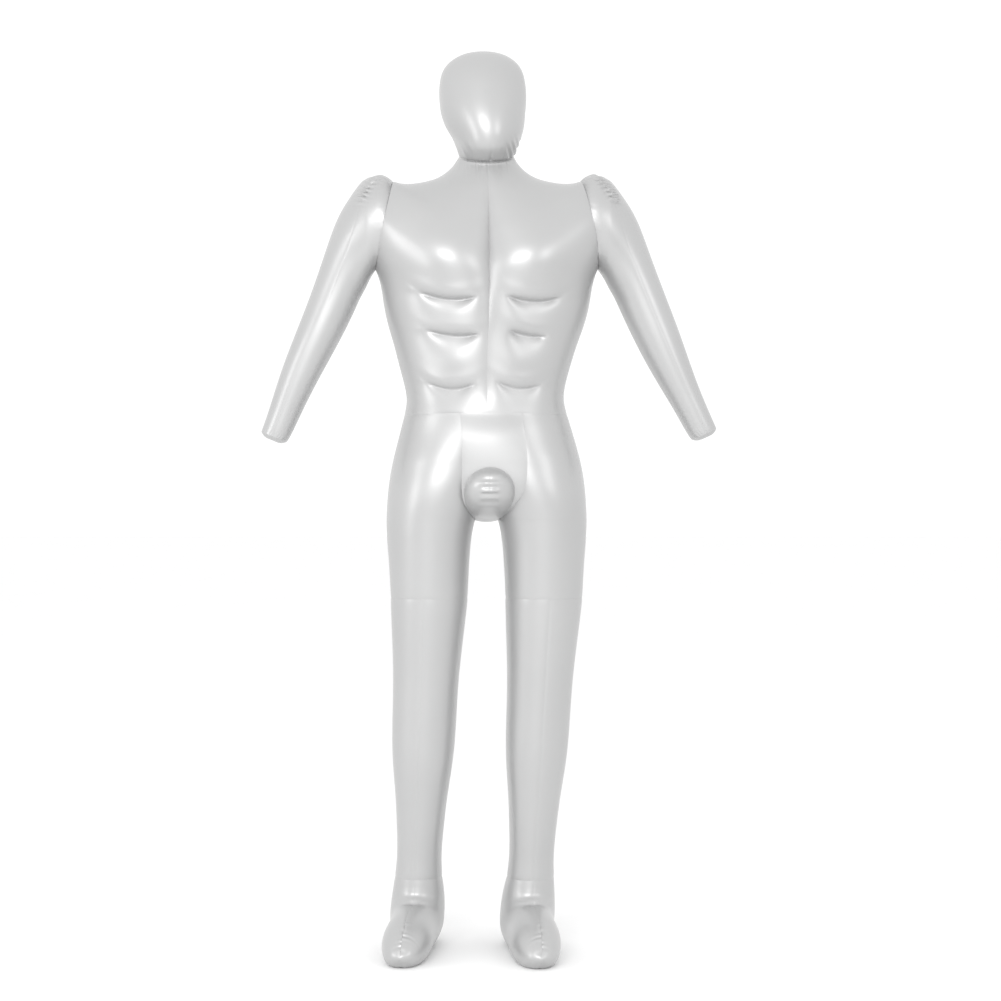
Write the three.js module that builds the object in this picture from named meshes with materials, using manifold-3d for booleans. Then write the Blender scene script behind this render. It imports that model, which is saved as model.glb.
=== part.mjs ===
// An inflatable full-body display figure: welded film panels around one air chamber, and its inflation
// valve.
// Millimetres, +Z up. The figure faces -Y, its own left side is +X, and the origin is on the floor below
// its middle.
import * as THREE from "three";
import { mergeVertices } from "three/addons/utils/BufferGeometryUtils.js";
import Module from "manifold-3d";

const wasm = await Module();
wasm.setup();

// Film and welds
const FILM = 0.3; // thickness of the PVC film
const SEAM_GAP = 0.3; // left open between two panels, where the weld joins them

// Heights of the welds and joints
const NECK_Z = 1473;
const WAIST_Z = 991;
const MID_THIGH_Z = 652;
const ANKLE_Z = 130;
const SOLE_Z = 0.6; // where the foot panels end on the sole
const SPINE_Y = 24; // the plane of the limbs' centre lines

// The shoulder pivots, in the middle of the armholes
const SHOULDER_X = 196.5;
const SHOULDER_Z = 1342;
const SHOULDER_REACH = 192; // from the middle, where a torso section's rise is measured
const ARMHOLE_SLOPE = -0.08; // how the armhole's plane leans: further out at the armpit

// How this figure stands: each leg leans and turns by itself, and its sole lies a step to one side of its
// ankle.
const LEG_X = 106.6; // centre of each leg at mid-thigh
const LEGS = {
  right: { side: -1, lean: 0.045, turn: 6.5, step: -4 },
  left: { side: 1, lean: -0.042, turn: 8, step: -11 },
};
const ARMS = {
  right: { side: -1, splay: 0.2 },
  left: { side: 1, splay: 1.7 },
};

// Sections of the torso, from the waist to the neck: height at the middle, half width, depth in front of and
// behind the spine plane, how far the section rises at the shoulder, and how far it tips down at the front.
const TORSO = [
  [991, 151, 99, 92, 0, 0],
  [1018, 146, 96, 89.5, 0, 0],
  [1050, 150, 97, 89, 0, 0],
  [1080, 158, 100, 90, 0, 0],
  [1122, 170, 105, 93, 0, 0],
  [1165, 183.5, 112, 97, 0, 0],
  [1195, 191.5, 118, 100, 7.6, 0],
  [1228, 205, 122, 106, 28, 0],
  [1255, 235, 124, 112, 44, 0],
  [1278, 250, 122, 115, 61, 0],
  [1300, 232, 118, 112, 78, 0],
  [1325, 192, 112, 106, 104, 0],
  [1348, 170, 105, 99, 96, 0.02],
  [1370, 148, 97.5, 91, 85, 0.05],
  [1398, 115, 86.5, 82, 75, 0.1],
  [1418, 90, 78.5, 73.5, 68.5, 0.16],
  [1440, 68, 67.5, 63, 64, 0.24],
  [1458, 56, 57, 55, 47, 0.3],
  [1473, 50, 50, 50, 0, 0.36],
];

// The head, upward from the neck: height, half width, depth in front and behind, shift to the left, tip.
const HEAD = [
  [1492, 56, 83, 61, 0, 0.24],
  [1507, 63, 92.5, 72, 0, 0.16],
  [1522, 69.5, 94.5, 81, -2, 0.09],
  [1551, 77, 90.5, 95, -6, 0.02],
  [1581, 79.5, 82.5, 104, -7, 0],
  [1610, 78, 73, 105, -8, 0],
  [1632, 71, 61, 98, -8, 0],
  [1650, 54, 44, 78, -7.5, 0],
  [1661, 33, 25, 51, -7, 0],
  [1666, 0, 0, 0, -7, 0],
];

// Hip and thigh of one side, upward: height, outer and inner reach from the middle, depth in front and
// behind.
// Above the crotch the inner reach passes the middle, where the panels are cut.
const HIP = [
  [652, 177.6, 35.6, 73, 77],
  [722, 181.5, 32, 82, 86],
  [782, 185.5, 25, 90, 98],
  [796, 185.7, 21.5, 92, 102],
  [826, 184.5, 8, 97, 111],
  [860, 181.5, -14, 101, 118],
  [900, 175, -40, 103, 120],
  [940, 165, -66, 104, 112],
  [991, 151, -100, 99, 92],
];
const CROTCH_Z = 796;

// Half widths of the front gusset on its right and left side, and of its tail behind the crotch, upward.
const GUSSET_FRONT = [
  [796, 21.5, 21.5],
  [806, 28, 33],
  [815, 35, 43],
  [826, 42, 51],
  [840, 46, 60],
  [880, 48, 70],
  [940, 48.5, 68],
  [991, 51, 61.5],
];
const GUSSET_TAIL = [
  [796, 21.5],
  [812, 17],
  [826, 13],
  [845, 5],
  [860, 0],
];
const TAIL_TOP_Z = 858;

// The pouch at the crotch
const POUCH = { x: 3, y: SPINE_Y - 91, z: 845, radius: 46, depth: 38, top: 35.5, hollow: 16.5 };

// Lower leg, upward: height, half width, depth in front of and behind its centre, centre behind the spine
// plane.
const LOWER_LEG = [
  [130, 43.5, 47, 47, 22],
  [160, 41.2, 45, 46, 20],
  [219, 43, 46, 50, 17],
  [278, 47.6, 49, 56, 14],
  [352, 55.5, 54, 62, 10],
  [426, 58.7, 57, 64, 7],
  [500, 60.5, 60, 66, 4],
  [574, 65.2, 66, 71, 2],
  [652, 71, 73, 77, 0],
];

// Foot sections from the ankle to the toe, fanning round the instep: forward and up of the top point,
// forward and up of the bottom point, and half width. Forward is measured from the ankle's centre.
const FOOT = [
  [0, 47, 130, -47, 130, 43.5],
  [1, 50, 115, -55, 106, 46],
  [2, 54, 103, -61, 73, 48.5],
  [3, 60, 95, -62, 38, 49.5],
  [4, 68, 91, -52, 4, 48.5],
  [5, 82, 89, -12, -13, 44.5],
  [6, 104, 85, 46, -15, 43.5],
  [7, 130, 77, 96, -15, 44],
  [8, 155, 64, 138, -13, 40],
  [9, 175, 48, 168, -6, 31],
  [10, 189, 32, 187, 8, 18],
  [11, 196, 21, 196, 19, 0],
];
const HEEL_SECTION = 4; // the first section that the sole cuts
const TOE_SECTION = 9.6; // the last one

// Arm sections from the shoulder cap to the wrist: the inner point (out, up), the outer point, half depth.
const ARM = [
  [0, 213, 1254, 213, 1432, 71],
  [1, 216, 1247, 235, 1423, 68],
  [2, 219.5, 1240, 258, 1393, 62],
  [3, 226, 1226, 281, 1350, 54],
  [4, 236, 1207, 305, 1282, 47],
  [5, 249, 1177, 330, 1210, 43],
  [6, 275, 1122, 351, 1152.5, 40.5],
  [7, 306, 1063, 373, 1090, 36],
  [8, 337.5, 1004, 394, 1027, 30.5],
  [9, 360, 959, 411, 978, 26.5],
  [10, 371, 940.5, 418, 959.5, 24.5],
];
// The root of the arm tucks into the armhole, so that it can swing: out from the pivot, half height,
// half depth.
const ARM_ROOT = [
  [-14, 70.6, 64.6],
  [0, 72, 65.9],
  [13, 70.6, 64.6],
];
const ARM_SEAM = (83 * Math.PI) / 180; // the arm's two welds, either side of its outer line
const ARM_SEAM_TOP = (25 * Math.PI) / 180; // the same on top of the shoulder, where they start
const ARM_SEAM_TURN = [-1.6, 3.4]; // the sections between which they turn down
// The root of the head tucks into the neck in the same way: above the weld, radius.
const HEAD_ROOT = [
  [-9, 46.3],
  [0, 47.2],
  [11, 47.2],
];

// Inflation valve, on the left half of the back, along its own axis from the film outwards
const VALVE = { x: 42, y: SPINE_Y + 86.4, z: 1078, turn: -0.155 };
const FLANGE_R = 18.5;
const FLANGE_T = 1;
const COLLAR_R = 8.8;
const COLLAR_BORE_R = 7.2;
const COLLAR_DEPTH = 3;
const STEM_R = 6.9;
const STEM_BORE_R = 4.4;
const STEM_RIM_R = 9.6;
const STEM_DEPTH = 15;
const FLAP_R = 6.4; // the check flap that closes the stem's inner end
const FLAP_T = 0.4;
const STEM_LIP_R = 8.3;
const STEM_RIM_T = 1.4;
const PLUG_R = 8.6;
const PLUG_T = 1.4;
const PLUG_NOSE = 4.5;
const STRAP_T = 0.9;
const STRAP_WIDTH = 6;
const HINGE_X = 14; // the line that the plug's strap bends on, beside the stem and out from the film
const HINGE_OUT = 3.95;
const CLEARANCE = 0.3;

const film = new THREE.MeshStandardMaterial({
  name: "film",
  color: 0xc4c5c6,
  roughness: 0.28,
  metalness: 0.35,
});
const clear = new THREE.MeshStandardMaterial({
  name: "valve",
  color: 0xdfe2e3,
  roughness: 0.35,
  metalness: 0,
});

// ---------------------------------------------------------------------------------------------------------
// Curves through the tables

// A natural cubic spline through rows of [position, value, ...], which gives the values at a position.
function spline(rows) {
  const n = rows.length;
  const at = rows.map((row) => row[0]);
  const columns = rows[0].slice(1).map((_, c) => {
    const y = rows.map((row) => row[c + 1]);
    const bend = new Array(n).fill(0);
    const sweep = new Array(n).fill(0);
    for (let i = 1; i < n - 1; i++) {
      const h0 = at[i] - at[i - 1];
      const h1 = at[i + 1] - at[i];
      const share = h0 / (h0 + h1);
      const pivot = share * bend[i - 1] + 2;
      bend[i] = (share - 1) / pivot;
      const jump = (y[i + 1] - y[i]) / h1 - (y[i] - y[i - 1]) / h0;
      sweep[i] = ((6 * jump) / (h0 + h1) - share * sweep[i - 1]) / pivot;
    }
    const second = new Array(n).fill(0);
    for (let i = n - 2; i > 0; i--) second[i] = bend[i] * second[i + 1] + sweep[i];
    return { y, second };
  });
  return (p) => {
    let i = 0;
    while (i < n - 2 && p > at[i + 1]) i++;
    const h = at[i + 1] - at[i];
    const b = (p - at[i]) / h;
    const a = 1 - b;
    return columns.map(
      ({ y, second }) =>
        a * y[i] + b * y[i + 1] + (((a ** 3 - a) * second[i] + (b ** 3 - b) * second[i + 1]) * h * h) / 6,
    );
  };
}

const torsoAt = spline(TORSO);
const headAt = spline(HEAD);
const hipAt = spline(HIP);
const gussetAt = spline(GUSSET_FRONT);
const tailAt = spline(GUSSET_TAIL);
const legAt = spline(LOWER_LEG);
const footAt = spline(FOOT);
const armAt = spline(ARM);

const range = (count) => Array.from({ length: count + 1 }, (_, i) => i / count);
const mix = (a, b, t) => a + (b - a) * t;
const smooth = (t) => (t <= 0 ? 0 : t >= 1 ? 1 : t * t * (3 - 2 * t));

// The smallest angle from 0 to a quarter or half turn at which a falling reach gets down to its limit.
function angleWhere(reach, limit, top) {
  if (reach(0) <= limit(0)) return 0;
  let low = 0;
  let high = top;
  if (reach(top) > limit(top)) return top;
  for (let i = 0; i < 40; i++) {
    const middle = (low + high) / 2;
    if (reach(middle) > limit(middle)) low = middle;
    else high = middle;
  }
  return high;
}

// ---------------------------------------------------------------------------------------------------------
// Surfaces: each gives a point of the figure's outside

const lifted = (x) => (x / SHOULDER_REACH) ** 2;
const armholeX = (z) => SHOULDER_X + ARMHOLE_SLOPE * (z - SHOULDER_Z);

// A torso panel: face is -1 in front and 1 behind; across runs from the centre weld to the side or the
// armhole.
function torsoPoint(side, face, height, across) {
  const [width, front, back, lift, tip] = torsoAt(height);
  const reach = (angle) => width * Math.cos(angle);
  const edge = angleWhere(reach, (angle) => armholeX(height + lift * lifted(reach(angle))), Math.PI / 2);
  const angle = mix(Math.PI / 2, edge, across);
  const x = reach(angle);
  const y = face * (face < 0 ? front : back) * Math.sin(angle);
  return new THREE.Vector3(side * x, SPINE_Y + y, height + lift * lifted(x) + tip * y);
}

// A head panel: around runs from the right-hand weld to the left-hand one.
function headPoint(face, height, around) {
  const [width, front, back, shift, tip] = headAt(height);
  const angle = Math.PI * around;
  const y = face * (face < 0 ? front : back) * Math.sin(angle);
  return new THREE.Vector3(shift - width * Math.cos(angle), SPINE_Y + y, height + tip * y);
}

function headRootPoint(face, above, radius, around) {
  const angle = Math.PI * around;
  const tip = TORSO[TORSO.length - 1][5];
  const y = face * radius * Math.sin(angle);
  return new THREE.Vector3(-radius * Math.cos(angle), SPINE_Y + y, NECK_Z + above + tip * y);
}

// How much the hips still follow the waist's single ring, from 0 at the thighs to 1 at the waist.
const ofWaist = (height) => smooth((height - 900) / (WAIST_Z - 900));

// A hip and thigh panel: across runs from the side weld to the gusset, the centre weld or the inner-leg
// weld.
function hipPoint(side, face, height, across) {
  const [outer, inner, front, back] = hipAt(height);
  const depth = face < 0 ? front : back;
  const limit = face < 0 ? gussetAt(height)[side < 0 ? 0 : 1] : Math.max(0, tailAt(height)[0]);
  const centre = (outer + inner) / 2;
  const half = (outer - inner) / 2;
  const open = height > CROTCH_Z && (face < 0 || height < TAIL_TOP_Z || inner < 0);
  const cut = open ? (height > TAIL_TOP_Z && face > 0 ? 0 : limit) : -Infinity;
  const lobe = angleWhere((angle) => centre + half * Math.cos(angle), () => cut, Math.PI) * across;
  const ring = angleWhere((angle) => outer * Math.cos(angle), () => Math.max(cut, 0), Math.PI) * across;
  const x = mix(centre + half * Math.cos(lobe), outer * Math.cos(ring), ofWaist(height));
  const y = face * depth * mix(Math.sin(lobe), Math.sin(ring), ofWaist(height));
  return new THREE.Vector3(side * x, SPINE_Y + y, height);
}

// A point of the gusset, between its right and left edges, which stands proud of a straight strip.
function gussetPoint(face, height, across) {
  const right = hipPoint(-1, face, height, 1);
  const left = hipPoint(1, face, height, 1);
  const upward = smooth((height - CROTCH_Z) / 60);
  const out = new THREE.Vector3(0, face * upward, upward - 1).normalize();
  const low = mix(3, 8, smooth((height - CROTCH_Z) / 45));
  const bulge = face < 0 ? mix(7, low, smooth((WAIST_Z - height) / 60)) : 3;
  const arch = 1 - (2 * across - 1) ** 2;
  return right.lerp(left, across).addScaledVector(out, bulge * arch);
}

// A lower-leg panel in the leg's own frame, turning from the front weld to the rear one; inward is the
// inner half.
function lowerLegPoint(leg, inward, height, around) {
  const [half, front, back, behind] = legAt(height);
  const angle = Math.PI * around;
  const x = -inward * leg.side * half * Math.sin(angle);
  const y = -Math.cos(angle) * (Math.cos(angle) > 0 ? front : back);
  return new THREE.Vector3(x + leg.side * leg.lean * (MID_THIGH_Z - height), y + behind, height);
}

// A point of a foot section: turn is 0 at the top and half a turn at the bottom.
function footRing(leg, inward, section, turn) {
  const [topForward, topUp, lowForward, lowUp, half] = footAt(section);
  const swing = (1 - Math.cos(turn)) / 2;
  const up = mix(topUp, lowUp, swing);
  const x = leg.step * (1 - up / ANKLE_Z) - inward * leg.side * Math.max(half * Math.sin(turn), 0.2);
  return new THREE.Vector3(x, -mix(topForward, lowForward, swing), up);
}

// A foot panel: down runs from the top weld to the rear weld or the sole.
function footPoint(leg, inward, section, down) {
  const end = angleWhere((turn) => footRing(leg, inward, section, turn).z, () => SOLE_Z, Math.PI);
  return footRing(leg, inward, section, end * down);
}

// A point of an arm section: angle is 0 on its outer line, a quarter turn at the back, half a turn on its
// inner line.
function armPoint(side, section, angle) {
  const [innerX, innerZ, outerX, outerZ, depth] = armAt(section);
  const swing = (1 + Math.cos(angle)) / 2;
  return new THREE.Vector3(
    side * mix(innerX, outerX, swing),
    SPINE_Y + depth * Math.sin(angle),
    mix(innerZ, outerZ, swing),
  );
}

// The angle of an arm's welds at a section: they start on the shoulder and turn down to the arm's front
// and back.
function armSeam(section) {
  const [from, to] = ARM_SEAM_TURN;
  return mix(ARM_SEAM_TOP, ARM_SEAM, smooth((section - from) / (to - from)));
}

function armRootPoint(side, [out, height, depth], angle) {
  return new THREE.Vector3(
    side * (SHOULDER_X + out),
    SPINE_Y + depth * Math.sin(angle),
    SHOULDER_Z + height * Math.cos(angle),
  );
}

// ---------------------------------------------------------------------------------------------------------
// Solids

// Faces between the rows of a grid of points, each square split along its shorter diagonal.
function gridFaces(points, columns) {
  const faces = [];
  for (let a = 0; a + columns < points.length; a++) {
    if (a % columns === columns - 1) continue;
    const quad = [a, a + 1, a + columns + 1, a + columns];
    const [p, q, r, s] = quad.map((i) => points[i]);
    if (p.distanceTo(r) > q.distanceTo(s)) quad.push(quad.shift());
    faces.push([quad[0], quad[1], quad[2]], [quad[0], quad[2], quad[3]]);
  }
  return faces;
}

// The same faces turned over, for the copy of the points that follows them.
const turnedOver = (faces, points) => faces.map((face) => [...face].reverse().map((i) => i + points.length));

// A closed mesh from its corners and faces, with the collapsed faces left out.
function closed(points, faces) {
  const flat = faces.flatMap((face) => face.flatMap((i) => points[i].toArray()));
  const raw = new THREE.BufferGeometry();
  raw.setAttribute("position", new THREE.Float32BufferAttribute(flat, 3));
  const merged = mergeVertices(raw, 1e-4);
  const index = [...merged.index.array];
  const kept = [];
  for (let i = 0; i < index.length; i += 3) {
    const [a, b, c] = index.slice(i, i + 3);
    if (a !== b && b !== c && c !== a) kept.push(a, b, c);
  }
  merged.setIndex(kept);
  return merged;
}

// Moves the edge of a panel back from the weld, along its surface.
function trimmed(grid) {
  const rows = grid.length;
  const columns = grid[0].length;
  const towards = (from, to) => to.clone().sub(from).normalize().multiplyScalar(SEAM_GAP / 2);
  return grid.map((row, r) =>
    row.map((point, c) => {
      const moved = point.clone();
      const inRow = r === 0 ? 1 : r === rows - 1 ? rows - 2 : r;
      const inColumn = c === 0 ? 1 : c === columns - 1 ? columns - 2 : c;
      if (inRow !== r) moved.add(towards(point, grid[inRow][c]));
      if (inColumn !== c && point.distanceTo(grid[r][inColumn]) > SEAM_GAP)
        moved.add(towards(point, grid[r][inColumn]));
      return moved;
    }),
  );
}

// A panel of film: a grid of points on its outside, thickened inwards.
function panel(grid) {
  const outside = trimmed(grid);
  const rows = outside.length;
  const columns = outside[0].length;
  const points = outside.flat();
  const middle = points.reduce((sum, p) => sum.add(p), new THREE.Vector3()).divideScalar(points.length);
  const normals = points.map(() => new THREE.Vector3());
  const faces = gridFaces(points, columns);
  let facing = 0;
  for (const [a, b, c] of faces) {
    const normal = points[b].clone().sub(points[a]).cross(points[c].clone().sub(points[a]));
    for (const i of [a, b, c]) normals[i].add(normal);
    facing += normal.dot(points[a].clone().sub(middle));
  }
  const inward = facing > 0 ? -FILM : FILM;
  const inside = points.map((p, i) => p.clone().addScaledVector(normals[i].normalize(), inward));
  const shell = [...faces, ...turnedOver(faces, points)];
  const rim = [
    ...range(columns - 1).map((t) => Math.round(t * (columns - 1))),
    ...range(rows - 1).map((t) => columns - 1 + Math.round(t * (rows - 1)) * columns),
    ...range(columns - 1).map((t) => rows * columns - 1 - Math.round(t * (columns - 1))),
    ...range(rows - 1).map((t) => (rows - 1) * columns - Math.round(t * (rows - 1)) * columns),
  ];
  rim.forEach((a, i) => {
    const b = rim[(i + 1) % rim.length];
    if (a !== b) shell.push([b, a, a + points.length], [b, a + points.length, b + points.length]);
  });
  return closed([...points, ...inside], facing > 0 ? shell : shell.map((face) => [...face].reverse()));
}

// A flat plate of film between two rows of points, from its lower face up.
function plate(edgeA, edgeB, thickness) {
  const columns = edgeA.length;
  const low = [...edgeA, ...edgeB];
  const points = [...low, ...low.map((p) => p.clone().setZ(p.z + thickness))];
  const faces = gridFaces(low, columns);
  const shell = [...faces, ...turnedOver(faces, low)];
  const rim = [...Array(columns).keys(), ...[...Array(columns).keys()].map((i) => 2 * columns - 1 - i)];
  rim.forEach((a, i) => {
    const b = rim[(i + 1) % rim.length];
    shell.push([b, a, a + 2 * columns], [b, a + 2 * columns, b + 2 * columns]);
  });
  return closed(points, shell);
}

function solid(geometry) {
  const bare = geometry.clone();
  for (const name of ["normal", "uv"]) bare.deleteAttribute(name);
  const merged = mergeVertices(bare, 1e-4);
  return new wasm.Manifold(
    new wasm.Mesh({
      numProp: 3,
      vertProperties: merged.attributes.position.array,
      triVerts: new Uint32Array(merged.index.array),
    }),
  );
}

function fromSolid(made) {
  const mesh = made.getMesh();
  const geometry = new THREE.BufferGeometry();
  geometry.setAttribute("position", new THREE.BufferAttribute(new Float32Array(mesh.vertProperties), 3));
  geometry.setIndex(new THREE.BufferAttribute(mesh.triVerts, 1));
  return geometry;
}

// A cylinder along Y between two depths.
function cylinderY(radius, x, z, from, to, sides = 32) {
  const geometry = new THREE.CylinderGeometry(radius, radius, to - from, sides);
  return solid(geometry.translate(x, (from + to) / 2, z));
}

// A turned piece of the valve about its own axis, from a profile of [radius, out] points that closes on
// itself.
function turned(profile, sides = 24) {
  const points = [...profile, profile[0]].map(([radius, out]) => new THREE.Vector2(radius, out));
  return closedLathe(new THREE.LatheGeometry(points, sides));
}

function closedLathe(geometry) {
  const made = solid(geometry);
  return fromSolid(made);
}

const figure = new THREE.Group();

function add(name, geometry, material = film, group = figure) {
  const mesh = new THREE.Mesh(geometry, material);
  mesh.name = name;
  group.add(mesh);
  return mesh;
}

// ---------------------------------------------------------------------------------------------------------
// Panels

const torsoHeights = [
  ...[WAIST_Z, 1018, 1050, 1086, 1123, 1164, 1196, 1227, 1253],
  ...[1277, 1303, 1326, 1349, 1374, 1401, 1422, 1442, 1458, NECK_Z],
];
for (const [sideName, side] of [["right", -1], ["left", 1]])
  for (const [faceName, face] of [["front", -1], ["back", 1]]) {
    const grid = torsoHeights.map((height) => range(7).map((t) => torsoPoint(side, face, height, t)));
    let geometry = panel(grid);
    if (side === 1 && face === 1) {
      const hole = cylinderY(FLANGE_R + CLEARANCE, 0, 0, -12, 12)
        .rotate([0, 0, THREE.MathUtils.radToDeg(VALVE.turn)])
        .translate([VALVE.x, VALVE.y, VALVE.z]);
      geometry = fromSolid(solid(geometry).subtract(hole));
    }
    add(`torso_${faceName}_${sideName}`, geometry);
  }

const headHeights = [1492, 1510, 1530, 1555, 1582, 1608, 1630, 1649, 1660, 1666];
for (const [faceName, face] of [["front", -1], ["back", 1]]) {
  const root = HEAD_ROOT.map(([above, radius]) =>
    range(10).map((t) => headRootPoint(face, above, radius, t)),
  );
  const dome = headHeights.map((height) => range(10).map((t) => headPoint(face, height, t)));
  add(`head_${faceName}`, panel([...root, ...dome]));
}

const hipHeights = [652, 700, 745, 780, CROTCH_Z, 800, 808, 826, TAIL_TOP_Z, 895, 935, 965, WAIST_Z];
for (const [sideName, side] of [["right", -1], ["left", 1]])
  for (const [faceName, face] of [["front", -1], ["back", 1]]) {
    const grid = hipHeights.map((height) => range(8).map((t) => hipPoint(side, face, height, t)));
    add(`thigh_${faceName}_${sideName}`, panel(grid));
  }

const openHeights = hipHeights.filter((height) => height > CROTCH_Z);
const gussetRows = [
  ...openHeights.map((height) => [-1, height]).reverse(),
  [-1, CROTCH_Z],
  ...openHeights.filter((height) => height <= TAIL_TOP_Z).map((height) => [1, height]),
];
const gusset = panel(gussetRows.map(([face, height]) => range(6).map((t) => gussetPoint(face, height, t))));
const pouchHole = cylinderY(POUCH.radius + CLEARANCE, POUCH.x, POUCH.z, SPINE_Y - 200, SPINE_Y + 2);
add("crotch_gusset", fromSolid(solid(gusset).subtract(pouchHole)));

// The pouch is two half shells that meet in an upright weld.
for (const [sideName, side] of [["right", -1], ["left", 1]]) {
  const grid = range(6).map((forward) =>
    range(8).map((around) => {
      const angle = Math.PI * around;
      const ring = Math.cos((forward * Math.PI) / 2);
      const rise = ring * Math.cos(angle);
      const rim = POUCH.y - POUCH.top * rise + POUCH.hollow * rise ** 2;
      return new THREE.Vector3(
        POUCH.x + side * (POUCH.radius * ring * Math.sin(angle) + SEAM_GAP / 2),
        rim - POUCH.depth * Math.sin((forward * Math.PI) / 2),
        POUCH.z + POUCH.radius * rise,
      );
    }),
  );
  add(`pouch_${sideName}`, panel(grid));
}

const legHeights = [ANKLE_Z, 160, 205, 260, 325, 400, 480, 565, MID_THIGH_Z];
for (const [legName, leg] of Object.entries(LEGS)) {
  const turn = (leg.side * leg.turn * Math.PI) / 180;
  const lower = new THREE.Group();
  lower.position.set(leg.side * LEG_X, SPINE_Y, 0);
  lower.rotation.z = turn;
  figure.add(lower);
  const foot = new THREE.Group();
  foot.position.set(leg.side * leg.lean * (MID_THIGH_Z - ANKLE_Z), LOWER_LEG[0][4], 0);
  lower.add(foot);
  for (const [halfName, inward] of [["inner", 1], ["outer", -1]]) {
    const legGrid = legHeights.map((height) => range(6).map((t) => lowerLegPoint(leg, inward, height, t)));
    add(`shin_${halfName}_${legName}`, panel(legGrid), film, lower);
    const sections = [...range(8).map((t) => t * 8), 9, 9.6, 10, 10.5, 11];
    const footGrid = sections.map((section) => range(6).map((t) => footPoint(leg, inward, section, t)));
    add(`foot_${halfName}_${legName}`, panel(footGrid), film, foot);
  }
  const along = range(9).map((t) => mix(HEEL_SECTION + 0.2, TOE_SECTION, t));
  const edge = (inward) =>
    along.map((section) => {
      const p = footPoint(leg, inward, section, 1);
      return new THREE.Vector3(mix(p.x, leg.step, 0.015), p.y, 0);
    });
  const sole = leg.side > 0 ? plate(edge(-1), edge(1), FILM) : plate(edge(1), edge(-1), FILM);
  add(`sole_${legName}`, sole, film, foot);
}

for (const [armName, arm] of Object.entries(ARMS)) {
  const swing = new THREE.Group();
  swing.position.set(arm.side * SHOULDER_X, 0, SHOULDER_Z);
  swing.rotation.y = (-arm.side * arm.splay * Math.PI) / 180;
  figure.add(swing);
  const sections = [0, 1, 2, 3, 4, 5, 6, 7, 8, 9, 10];
  for (const [halfName, columns] of [["outer", 6], ["inner", 10]]) {
    const angles = (section) => {
      const from = halfName === "outer" ? -armSeam(section) : armSeam(section);
      const to = halfName === "outer" ? armSeam(section) : 2 * Math.PI - armSeam(section);
      return range(columns).map((t) => mix(from, to, t));
    };
    const root = ARM_ROOT.map((row) =>
      angles(ARM_SEAM_TURN[0]).map((angle) => armRootPoint(arm.side, row, angle)),
    );
    const tube = sections.map((section) =>
      angles(section).map((angle) => armPoint(arm.side, section, angle)),
    );
    const geometry = panel([...root, ...tube]);
    geometry.translate(-arm.side * SHOULDER_X, 0, -SHOULDER_Z);
    add(`arm_${halfName}_${armName}`, geometry, film, swing);
  }
  // The wrist disc closes the end of the sleeve, square to it.
  const [innerX, innerZ, outerX, outerZ, depth] = ARM[ARM.length - 1].slice(1);
  const half = Math.hypot(outerX - innerX, outerZ - innerZ) / 2;
  const lean = Math.atan2(outerZ - innerZ, outerX - innerX);
  const out = FILM / 2 + SEAM_GAP;
  const disc = new THREE.CylinderGeometry(half, half, FILM, 24);
  disc.rotateX(Math.PI / 2).scale(1, depth / half, 1);
  const wrist = add(`wrist_disc_${armName}`, disc, film, swing);
  wrist.rotation.y = -arm.side * lean;
  const middleX = (innerX + outerX) / 2 + out * Math.sin(lean);
  const middleZ = (innerZ + outerZ) / 2 - out * Math.cos(lean);
  wrist.position.set(arm.side * (middleX - SHOULDER_X), SPINE_Y, middleZ - SHOULDER_Z);
}

// ---------------------------------------------------------------------------------------------------------
// Valve: its pieces are turned about the group's own Y axis, which points out of the back.

const valve = new THREE.Group();
valve.position.set(VALVE.x, VALVE.y, VALVE.z);
valve.rotation.z = VALVE.turn;
figure.add(valve);

add(
  "valve_flange",
  turned([
    [COLLAR_BORE_R, -COLLAR_DEPTH],
    [COLLAR_R, -COLLAR_DEPTH],
    [COLLAR_R, 0],
    [FLANGE_R, 0],
    [FLANGE_R, FLANGE_T],
    [COLLAR_BORE_R, FLANGE_T],
  ]),
  clear,
  valve,
);

// The stem slides in the flange's collar, and carries the root of the plug's strap beside its rim.
const rimBase = FLANGE_T + CLEARANCE;
const rimTop = rimBase + STEM_RIM_T;
const stem = solid(
  turned([
    [STEM_BORE_R, -STEM_DEPTH],
    [STEM_LIP_R, -STEM_DEPTH],
    [STEM_LIP_R, -STEM_DEPTH + 1],
    [STEM_R, -STEM_DEPTH + 1],
    [STEM_R, rimBase],
    [STEM_RIM_R, rimBase],
    [STEM_RIM_R, rimTop],
    [STEM_BORE_R, rimTop],
  ]),
);
const strapRoot = new THREE.BoxGeometry(HINGE_X - STEM_R - 0.5, STEM_RIM_T, STRAP_WIDTH);
strapRoot.translate((HINGE_X + STEM_R + 2) / 2, (rimBase + rimTop) / 2, 0);
add("valve_stem", fromSolid(stem.add(solid(strapRoot))), clear, valve);

// The plug's tapered nose closes the stem; its strap ends on the hinge line, over the strap's root.
const plugBase = rimTop + CLEARANCE;
const plugBody = solid(
  turned([
    [0, plugBase - PLUG_NOSE],
    [3.1, plugBase - PLUG_NOSE],
    [4, plugBase],
    [PLUG_R, plugBase],
    [PLUG_R, plugBase + PLUG_T],
    [0, plugBase + PLUG_T],
  ]),
);
const strap = new THREE.BoxGeometry(HINGE_X - PLUG_R + 1, STRAP_T, STRAP_WIDTH);
strap.translate((HINGE_X + PLUG_R - 1) / 2, HINGE_OUT, 0);
const tab = new THREE.BoxGeometry(5, 1.2, 5).translate(-PLUG_R - 1.4, plugBase + 0.8, 0);
add("valve_plug", fromSolid(plugBody.add(solid(strap)).add(solid(tab))), clear, valve);

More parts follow.
